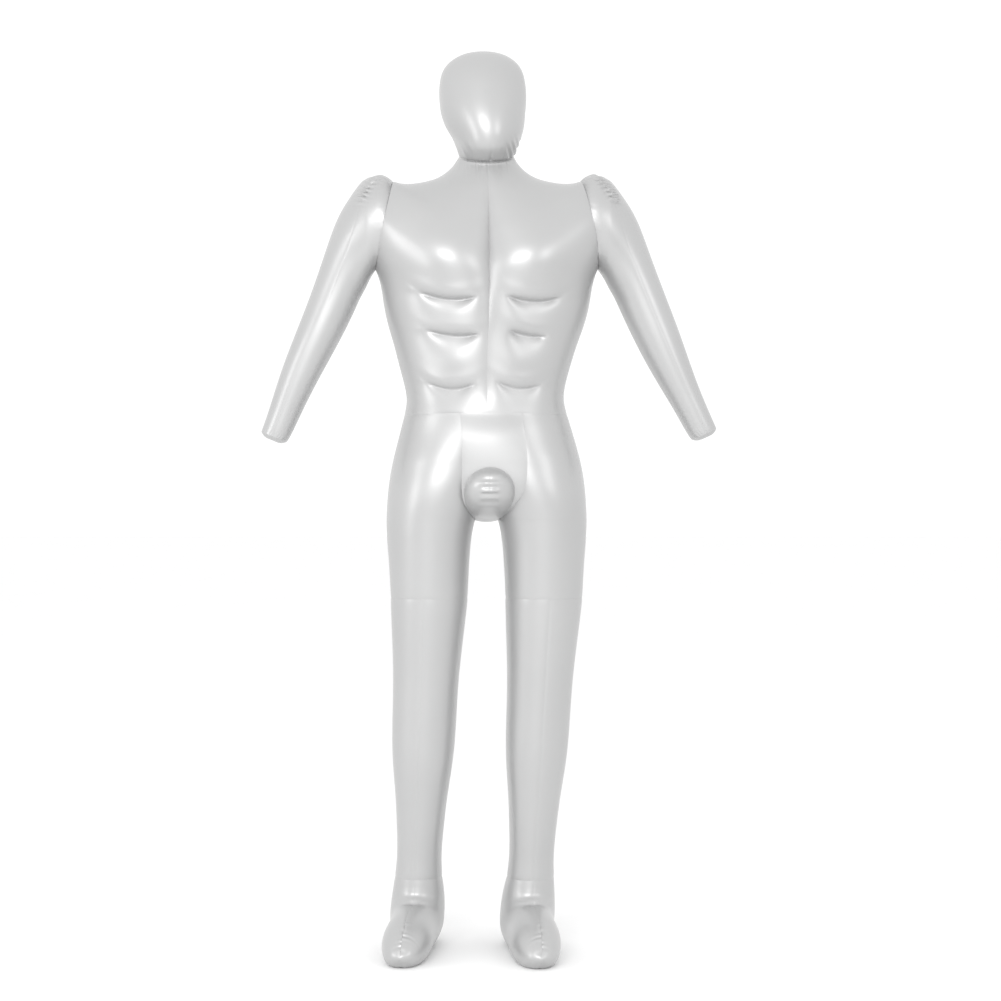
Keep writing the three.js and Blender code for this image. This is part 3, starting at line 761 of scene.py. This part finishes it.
def build_torso():
    heights = rows_between([WAIST_Z, 1230, 1345, NECK_Z], 1.7)
    across = np.linspace(0, 1, 150)
    for side_name, side in SIDES:
        for face_name, face in FACES:
            name = f"torso_{face_name}_{side_name}"
            grid = torso_points(side, face, heights, across)
            outward = grid - points(0, SPINE_Y, grid[..., 2])
            rise = torso_relief(grid, side, face)
            moved = turned(grid + normals(grid, outward) * rise[..., None])
            torso = film_shell(f"{name}_film", moved, outward)
            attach(torso, "figure")
            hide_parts(name)


# ---------------------------------------------------------------------------------------------------------
# Head

def head_relief(grid, face):
    """The swelling of a head panel, with the gathers at the neck and, in front, the chin's folds."""
    welds = (1, 4), None, (1, 6), (1, 6)
    from_neck = lengths(grid, 0)[0]
    along = lengths(grid, 1)[0]
    extra = 0.9 * gathers(along, from_neck, 8, 12, 0.7 + face)
    if face < 0:
        x, z = grid[..., 0], grid[..., 2]
        notch = bump(x, 5, 3) * np.exp(-from_neck / 16)
        corners = bump(x, 45, 16) + 0.9 * bump(x, -45, 14)
        folds = np.sin((x + 0.5 * z) / 1.9)
        extra += 1.9 * corners * bump(from_neck, 20, 20) * folds - 4 * notch
    extra += 0.15 * waves(grid, 30) * (1 - np.exp(-from_neck / 12))
    return swell(grid, welds, 1.2) + extra * held(grid, welds)


def build_head():
    rows = np.array(HEAD, float)
    travel = np.concatenate([[0], np.cumsum(np.hypot(np.diff(rows[:, 0]), np.diff(rows[:, 1])))])
    head_at = spline(np.column_stack([travel, rows]))
    # The last row only carries the curve over the crown: the panels end at the row before it.
    head_travel = rows_between([0, 30, travel[-2]], 1.6)
    angle = PI * np.linspace(0, 1, 150)[None, :]
    for face_name, face in FACES:
        height, width, front, back, shift, tip = (v[:, None] for v in head_at(head_travel))
        y = face * (front if face < 0 else back) * np.sin(angle)
        grid = points(shift - width * np.cos(angle), SPINE_Y + y, height + tip * y)
        outward = grid - points(*HEAD_MIDDLE)
        rise = head_relief(grid, face)
        rise[-1] = rise[-1].mean()
        n = normals(grid, outward)
        n[-1] = (0, 0, 1)
        moved = turned(grid + n * rise[..., None])
        head = film_shell(f"head_{face_name}_film", moved, outward)
        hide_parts(f"head_{face_name}")
        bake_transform(head)


# ---------------------------------------------------------------------------------------------------------
# Arms

def ladder(grid, side):
    """The short level gathers, one below the other, along the front of the shoulder."""
    run = LADDER_END - LADDER_TOP
    out, up = side * grid[..., 0] - LADDER_TOP[0], grid[..., 2] - LADDER_TOP[1]
    share = (out * run[0] + up * run[1]) / (run @ run)
    aside = (out * run[1] - up * run[0]) / np.hypot(*run)
    rungs = np.sin(2 * PI * (up - 0.15 * out) / 9.5 + 0.9 * np.sin(out / 6 + side))
    in_front = smooth((SPINE_Y - grid[..., 1]) / 15)
    return 2.6 * rungs * bump(aside, 0, 10) * np.exp(-(((share - 0.5) / 0.6) ** 4)) * in_front


def splayed(p, arm):
    """Points of an arm, swung outwards about the shoulder by its splay."""
    side = arm["side"]
    splay = math.radians(-side * arm["splay"])
    pivot = np.array([side * SHOULDER_X, 0, SHOULDER_Z])
    turn = np.array([
        [math.cos(splay), 0, math.sin(splay)],
        [0, 1, 0],
        [-math.sin(splay), 0, math.cos(splay)],
    ])
    return (p - pivot) @ turn.T + pivot


def led_in(rows):
    """The rows with the first one repeated for those that lead in from the armhole."""
    return np.concatenate([np.repeat(rows[:1], LEAD_ROWS, axis=0), rows])


def sleeve_relief(grid, angles, side, half_name):
    """The swelling of a sleeve panel, with its gathers at the armhole, the shoulder and the wrist."""
    from_rim, from_wrist = lengths(grid, 0)
    along, to_end = lengths(grid, 1)
    from_front = along if half_name == "outer" else to_end
    welds = (1, 4), (1, 4), (1, 5), (1, 5)
    rise = swell(grid, ((1, 10), (1, 4), (0.35, 3), (0.35, 3)), 0.7)
    cap = np.clip(np.cos(angles + 0.5), 0, 1) ** 2
    extra = (0.4 + 0.3 * cap) * gathers(along, from_rim, 9, 16 + 10 * cap, 2.2 * side)
    puckers = bump(from_front, 0, 20) * gathers(along, from_wrist, 7, 7, 1.3)
    extra += 1.2 * puckers
    extra += 0.4 * gathers(along, from_wrist, 8, 9, 0.4)
    extra += 0.35 * waves(grid, 34) * (1 - np.exp(-from_rim / 20))
    rise += extra * held(grid, welds)
    rise += ladder(grid, side) * (1 - np.exp(-from_rim / 4))
    return rise


def build_sleeve(arm_name, arm, half_name, columns):
    """One panel of a sleeve: its first rows lead in from the armhole to the arm's first section."""
    side = arm["side"]
    upper = rows_between([ARM[0][0], 1], 0.05)
    lower = rows_between([1, WRIST], 0.04)
    sections = np.concatenate([upper, lower[1:]])
    seam = arm_seam(sections)[:, None]
    from_seam = -seam if half_name == "outer" else seam
    to_seam = seam if half_name == "outer" else 2 * PI - seam
    angles = mix(from_seam, to_seam, np.linspace(0, 1, columns)[None, :])
    tube = splayed(arm_points(side, sections, angles), arm)
    rim = armhole_ring(side)(angles[0])
    steps = np.linspace(0, 1, LEAD_ROWS + 1)[:-1, None, None]
    grid = np.concatenate([rim + (tube[0] - rim) * np.sin(steps * PI / 2), tube])
    all_round = np.linspace(0, 2 * PI, 40)[None, :]
    middle = arm_points(side, sections, all_round).mean(axis=1, keepdims=True)
    outward = grid - led_in(middle)
    rise = sleeve_relief(grid, led_in(angles), side, half_name)
    moved = turned(grid + normals(grid, outward) * rise[..., None])
    sleeve = film_shell(f"arm_{half_name}_{arm_name}_film", moved, outward)
    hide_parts(f"arm_{half_name}_{arm_name}")
    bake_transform(sleeve)


def build_wrist(arm_name, arm):
    """The disc that closes a sleeve: it swells a little and is drawn in at its middle."""
    body = f"{arm_name}_arm"
    share = rows_between([0, 1], 0.06)
    angles = np.linspace(0, 2 * PI, 97)
    quarter = len(angles) // 4
    end = splayed(arm_points(arm["side"], np.array([WRIST]), angles[None, :])[0], arm)
    centre = end[:-1].mean(axis=0)
    down = np.cross(end[quarter] - centre, end[0] - centre)
    down /= np.linalg.norm(down) * np.sign(-down[2])
    ring = centre + (end - centre) * share[:, None, None]
    dome = 7.5 * (1 - share**3) - 1.8 * np.exp(-share * WRIST_RADIUS / 4)
    creases = 0.5 * np.sin(13 * angles[None, :]) * (share**3 * (1 - share) * 9)[:, None]
    disc = turned(ring + down * (dome[:, None] + creases)[..., None])
    wrist = film_shell(f"wrist_disc_{arm_name}_film", disc, np.broadcast_to(down, disc.shape))
    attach(wrist, body)
    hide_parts(f"wrist_disc_{arm_name}")


# ---------------------------------------------------------------------------------------------------------
# Hips, thighs and crotch

hip_heights = rows_between([MID_THIGH_Z, CROTCH_Z, TAIL_TOP_Z, WAIST_Z], 2.4)


def build_thighs():
    share = np.linspace(0, 1, 110)
    welds = (1, 4), (1, 4), (1, 6), (1, 6)
    for side_name, side in SIDES:
        for face_name, face in FACES:
            grid = hip_points(side, face, hip_heights, share)
            outward = grid - points(side * 60, SPINE_Y, grid[..., 2])
            rise = swell(grid, welds, 0.7) + 0.35 * waves(grid, 42) * held(grid, welds, 12)
            moved = turned(grid + normals(grid, outward) * rise[..., None])
            thigh = film_shell(f"thigh_{face_name}_{side_name}_film", moved, outward)
            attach(thigh, "figure")
            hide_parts(f"thigh_{face_name}_{side_name}")


def build_gusset():
    """The gusset runs down the front from the waist, under the crotch and up behind to the tail."""
    share = np.linspace(0, 1, 64)
    open_heights = hip_heights[hip_heights > CROTCH_Z]
    front_rows = gusset_points(-1, open_heights[::-1], share)
    low_row = gusset_points(-1, np.array([float(CROTCH_Z)]), share)
    back_rows = gusset_points(1, open_heights[open_heights <= TAIL_TOP_Z], share)
    grid = np.concatenate([front_rows, low_row, back_rows])
    outward = grid - points(0, SPINE_Y, np.maximum(grid[..., 2], 850))
    rise = swell(grid, ((1, 4), None, (0.5, 4), (0.8, 5)), 0.6)
    moved = turned(grid + normals(grid, outward) * rise[..., None])
    gusset = film_shell("crotch_gusset_film", moved, outward)
    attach(gusset, "figure")
    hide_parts("crotch_gusset")


def pouch_relief(grid, forward, upward):
    """Short level wrinkles along the pouch's middle weld, and a soft roll just inside its top rim."""
    z = grid[..., 2]
    away = np.abs(grid[..., 0] - POUCH["x"])
    from_rim = forward * POUCH["arc"]
    level = np.sin(2 * PI * (z - 832) / 14.5 + 0.5 * np.sin(z / 9))
    folds = level * np.exp(-((away / 17) ** 4)) * bump(z, 852, 26)
    rise = 1.7 * folds - 0.5 * np.exp(-away / 3) * bump(z, 862, 20)
    rise *= (1 - np.exp(-from_rim / 6))[:, None]
    rise += 2.2 * bump(from_rim, 7, 5)[:, None] * smooth(upward)
    return rise


def build_pouch():
    forward = np.linspace(0, 1, 46)
    angle = PI * np.linspace(0, 1, 90)[None, :]
    ring = np.cos(forward * PI / 2)[:, None]
    upward = ring * np.cos(angle)
    rim = POUCH["y"] - POUCH["top"] * upward + POUCH["hollow"] * upward**2
    for side_name, side in SIDES:
        grid = points(
            POUCH["x"] + side * POUCH["radius"] * ring * np.sin(angle),
            rim - POUCH["depth"] * np.sin(forward * PI / 2)[:, None],
            POUCH["z"] + POUCH["radius"] * upward,
        )
        outward = grid - points(POUCH["x"], POUCH["y"] + 30, POUCH["z"])
        rise = pouch_relief(grid, forward, upward)
        rise[-1] = rise[-1].mean()
        n = normals(grid, outward)
        n[-1] = (0, -1, 0)
        moved = turned(grid + n * rise[..., None])
        pouch = film_shell(f"pouch_{side_name}_film", moved, outward)
        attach(pouch, "figure")
        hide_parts(f"pouch_{side_name}")


# ---------------------------------------------------------------------------------------------------------
# Lower legs and feet

def placed(p, leg):
    """Points of a leg, turned about its own axis and brought under the hip."""
    turn = math.radians(leg["side"] * leg["turn"])
    spin = np.array([
        [math.cos(turn), -math.sin(turn), 0],
        [math.sin(turn), math.cos(turn), 0],
        [0, 0, 1],
    ])
    return p @ spin.T + np.array([leg["side"] * LEG_X, SPINE_Y, 0])


def ankle_of(leg):
    """Where a foot's own middle sits before its leg is placed."""
    return np.array([leaned(leg, ANKLE_Z), LOWER_LEG[0][4], 0])


def build_shin(leg_name, leg, half_name, inward):
    heights = rows_between([ANKLE_Z, MID_THIGH_Z], 3.0)
    grid = placed(lower_leg_points(leg, inward, heights, np.linspace(0, 1, 90)), leg)
    z = grid[..., 2]
    outward = grid - points(leg["side"] * LEG_X + leaned(leg, z), SPINE_Y + 8, z)
    welds = (1, 4), (1, 5), (1, 5), (1, 5)
    rise = swell(grid, welds, 0.8) + 0.35 * waves(grid, 40) * held(grid, welds, 12)
    moved = grid + normals(grid, outward) * rise[..., None]
    shin = film_shell(f"shin_{half_name}_{leg_name}_film", moved, outward)
    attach(shin, "figure")
    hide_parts(f"shin_{half_name}_{leg_name}")


def build_foot(leg_name, leg, half_name, inward):
    sections = rows_between([0, 4, 9, 11], 0.07)
    flat = foot_points(leg, inward, sections, np.linspace(0, 1, 80))
    forward, up = -flat[..., 1], flat[..., 2]
    grid = placed(flat + ankle_of(leg), leg)
    outward = grid - placed(np.array([0, -60, 45]) + ankle_of(leg), leg)
    from_top = lengths(grid, 1)[0]
    rise = swell(grid, ((1, 9), None, (0.6, 3), (1, 4)), 0.9)
    instep = bump(sections, 3.8, 0.7)[:, None]
    ankle = bump(sections, 2.6, 1.2)[:, None]
    toe = bump(sections, 8.6, 1.3)[:, None]
    rise -= 5 * (instep * np.exp(-from_top / 19))
    rise += 1.4 * toe * gathers(forward, from_top, 9.5, 12, 0.6 + inward)
    rise += 0.6 * ankle * gathers(up, from_top, 9, 14, 1.4)
    rise[-1] = 0
    n = normals(grid, outward)
    n[-1] = n[-2]
    moved = grid + n * rise[..., None]
    moved[..., 2] = np.maximum(moved[..., 2], GROUND_Z)
    foot = film_shell(f"foot_{half_name}_{leg_name}_film", moved, outward)
    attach(foot, "figure")
    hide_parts(f"foot_{half_name}_{leg_name}")


def build_sole(leg_name, leg):
    """The sole fills the space between the lower edges of the foot's two panels."""
    sections = np.linspace(4.2, 9.6, 60)
    edges = []
    for inward in (1, -1):
        edge = foot_points(leg, inward, sections, np.array([1.0]))[:, 0]
        edges.append(placed(edge + ankle_of(leg), leg))
    inner, outer = edges
    grid = inner[:, None] + (outer - inner)[:, None] * np.linspace(0, 1, 20)[None, :, None]
    grid[..., 2] = GROUND_Z
    outward = np.broadcast_to(np.array([0, 0, -1.0]), grid.shape)
    sole = film_shell(f"sole_{leg_name}_film", grid, outward)
    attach(sole, "figure")
    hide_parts(f"sole_{leg_name}")


# ---------------------------------------------------------------------------------------------------------
# Valve

valve_middle = Vector((VALVE["x"], VALVE["y"], VALVE["z"])) * MM
valve_place = Matrix.Translation(valve_middle) @ Matrix.Rotation(VALVE["turn"], 4, "Z")


def rounded(piece, width, segments):
    """Rounds the piece's sharp edges by a width in millimetres."""
    rounding = piece.modifiers.new("rounding", "BEVEL")
    rounding.width = width * MM
    rounding.segments = segments
    rounding.limit_method = "ANGLE"


def turned_piece(name, profile, node, body):
    """A moulding turned about the valve's axis, from [radius, out] points."""
    profile = np.array(profile, float)
    angles = np.linspace(0, 2 * PI, 73)[None, :]
    radius, out = profile[:, :1], profile[:, 1:]
    grid = points(radius * np.cos(angles), out, radius * np.sin(angles))
    piece = mesh_object(name, grid.reshape(-1, 3), quads(*grid.shape[:2]).tolist(), clear)
    piece.data.polygons.foreach_set("use_smooth", [True] * len(piece.data.polygons))
    merge = piece.modifiers.new("closed", "WELD")
    merge.merge_threshold = 1e-5
    rounded(piece, 0.2, 2)
    piece.matrix_world = valve_place
    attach(piece, body)
    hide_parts(node)


def block(name, low, high, body):
    """A small moulded block beside the valve's turned pieces, in the valve's own frame."""
    corners = [
        (x, y, z)
        for x in (low[0], high[0])
        for y in (low[1], high[1])
        for z in (low[2], high[2])
    ]
    sides = [(0, 1, 3, 2), (4, 6, 7, 5), (0, 4, 5, 1), (2, 3, 7, 6), (0, 2, 6, 4), (1, 5, 7, 3)]
    made = mesh_object(name, np.array(corners, float), sides, clear)
    rounded(made, 0.3, 3)
    made.matrix_world = valve_place
    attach(made, body)


def build_valve():
    """The flange, the stem with its strap's root, the plug with its strap and tab, and the flap."""
    turned_piece(
        "valve_flange_ring",
        [
            [7.2, -3], [8.8, -3], [8.8, 0], [18.4, 0], [18.5, 0.5],
            [18.3, 1], [10.5, 1], [7.2, 1], [7.2, -3],
        ],
        "valve_flange",
        "figure",
    )
    turned_piece(
        "valve_stem_tube",
        [
            [4.4, -15], [8.3, -15], [8.3, -14], [6.9, -14], [6.9, 1.3],
            [9.6, 1.3], [9.6, 2.7], [4.4, 2.7], [4.4, -15],
        ],
        "valve_stem",
        "valve_stem",
    )
    turned_piece(
        "valve_plug_cap",
        [
            [0, -1.5], [3.1, -1.5], [4, 3], [8.4, 3], [8.6, 3.7],
            [8.4, 4.4], [5.5, 4.4], [5.2, 4.0], [0, 4.0],
        ],
        "valve_plug",
        "valve_plug",
    )
    turned_piece(
        "check_flap_disc",
        [[0, -15.3], [6.3, -15.3], [6.4, -15.5], [6.3, -15.7], [0, -15.7]],
        "check_flap",
        "check_flap",
    )
    block("valve_strap_root", (9.0, 1.3, -3), (15.5, 2.7, 3), "valve_stem")
    block("valve_strap", (8.0, 3.5, -3), (14.0, 4.4, 3), "valve_plug")
    block("valve_pull_tab", (-12.5, 3.2, -2.5), (-8.0, 4.4, 2.5), "valve_plug")


# ---------------------------------------------------------------------------------------------------------
# Studio

def softbox(name, location, target, size, power):
    """A rectangular light that looks at its target."""
    data = bpy.data.lights.new(name, "AREA")
    data.shape = "RECTANGLE"
    data.size, data.size_y = size
    data.energy = power
    made = bpy.data.objects.new(name, data)
    bpy.context.collection.objects.link(made)
    made.location = location
    made.rotation_euler = (Vector(target) - Vector(location)).to_track_quat("-Z", "Y").to_euler()


def build_studio():
    scene = bpy.context.scene
    bpy.ops.mesh.primitive_plane_add(size=60, location=(0, 10, -0.0004))
    floor = bpy.context.object
    floor.name = "floor"
    floor.data.materials.append(floor_material())

    world = scene.world or bpy.data.worlds.new("studio")
    scene.world = world
    world.use_nodes = True
    background = world.node_tree.nodes["Background"]
    background.inputs["Color"].default_value = (1, 1, 1, 1)
    background.inputs["Strength"].default_value = 1.1

    softbox("left", (-2.7, -1.6, 1.3), (-0.4, 0, 1.1), (0.8, 1.6), 11)
    softbox("key", (-0.7, -3.1, 2.1), (0, 0, 1.1), (1.7, 0.75), 33)
    softbox("fill", (1.9, -2.5, 1.9), (0, 0, 1.1), (1.0, 1.0), 8)
    softbox("front", (-0.3, -4.6, 1.2), (0, 0, 1.0), (2.4, 2.4), 13)

    camera_data = bpy.data.cameras.new("camera")
    camera_data.lens = 68.1
    camera_data.sensor_width = 36
    camera = bpy.data.objects.new("camera", camera_data)
    bpy.context.collection.objects.link(camera)
    camera.location = (0.026, -3.5, 0.8325)
    camera.rotation_euler = (PI / 2, 0, 0)
    scene.camera = camera
    scene.view_settings.view_transform = "Standard"


build_torso()
build_head()
for arm_name, arm in ARMS.items():
    build_sleeve(arm_name, arm, "outer", 90)
    build_sleeve(arm_name, arm, "inner", 120)
    build_wrist(arm_name, arm)
build_thighs()
build_gusset()
build_pouch()
for leg_name, leg in LEGS.items():
    for half_name, inward in (("inner", 1), ("outer", -1)):
        build_shin(leg_name, leg, half_name, inward)
        build_foot(leg_name, leg, half_name, inward)
    build_sole(leg_name, leg)
build_valve()
build_studio()
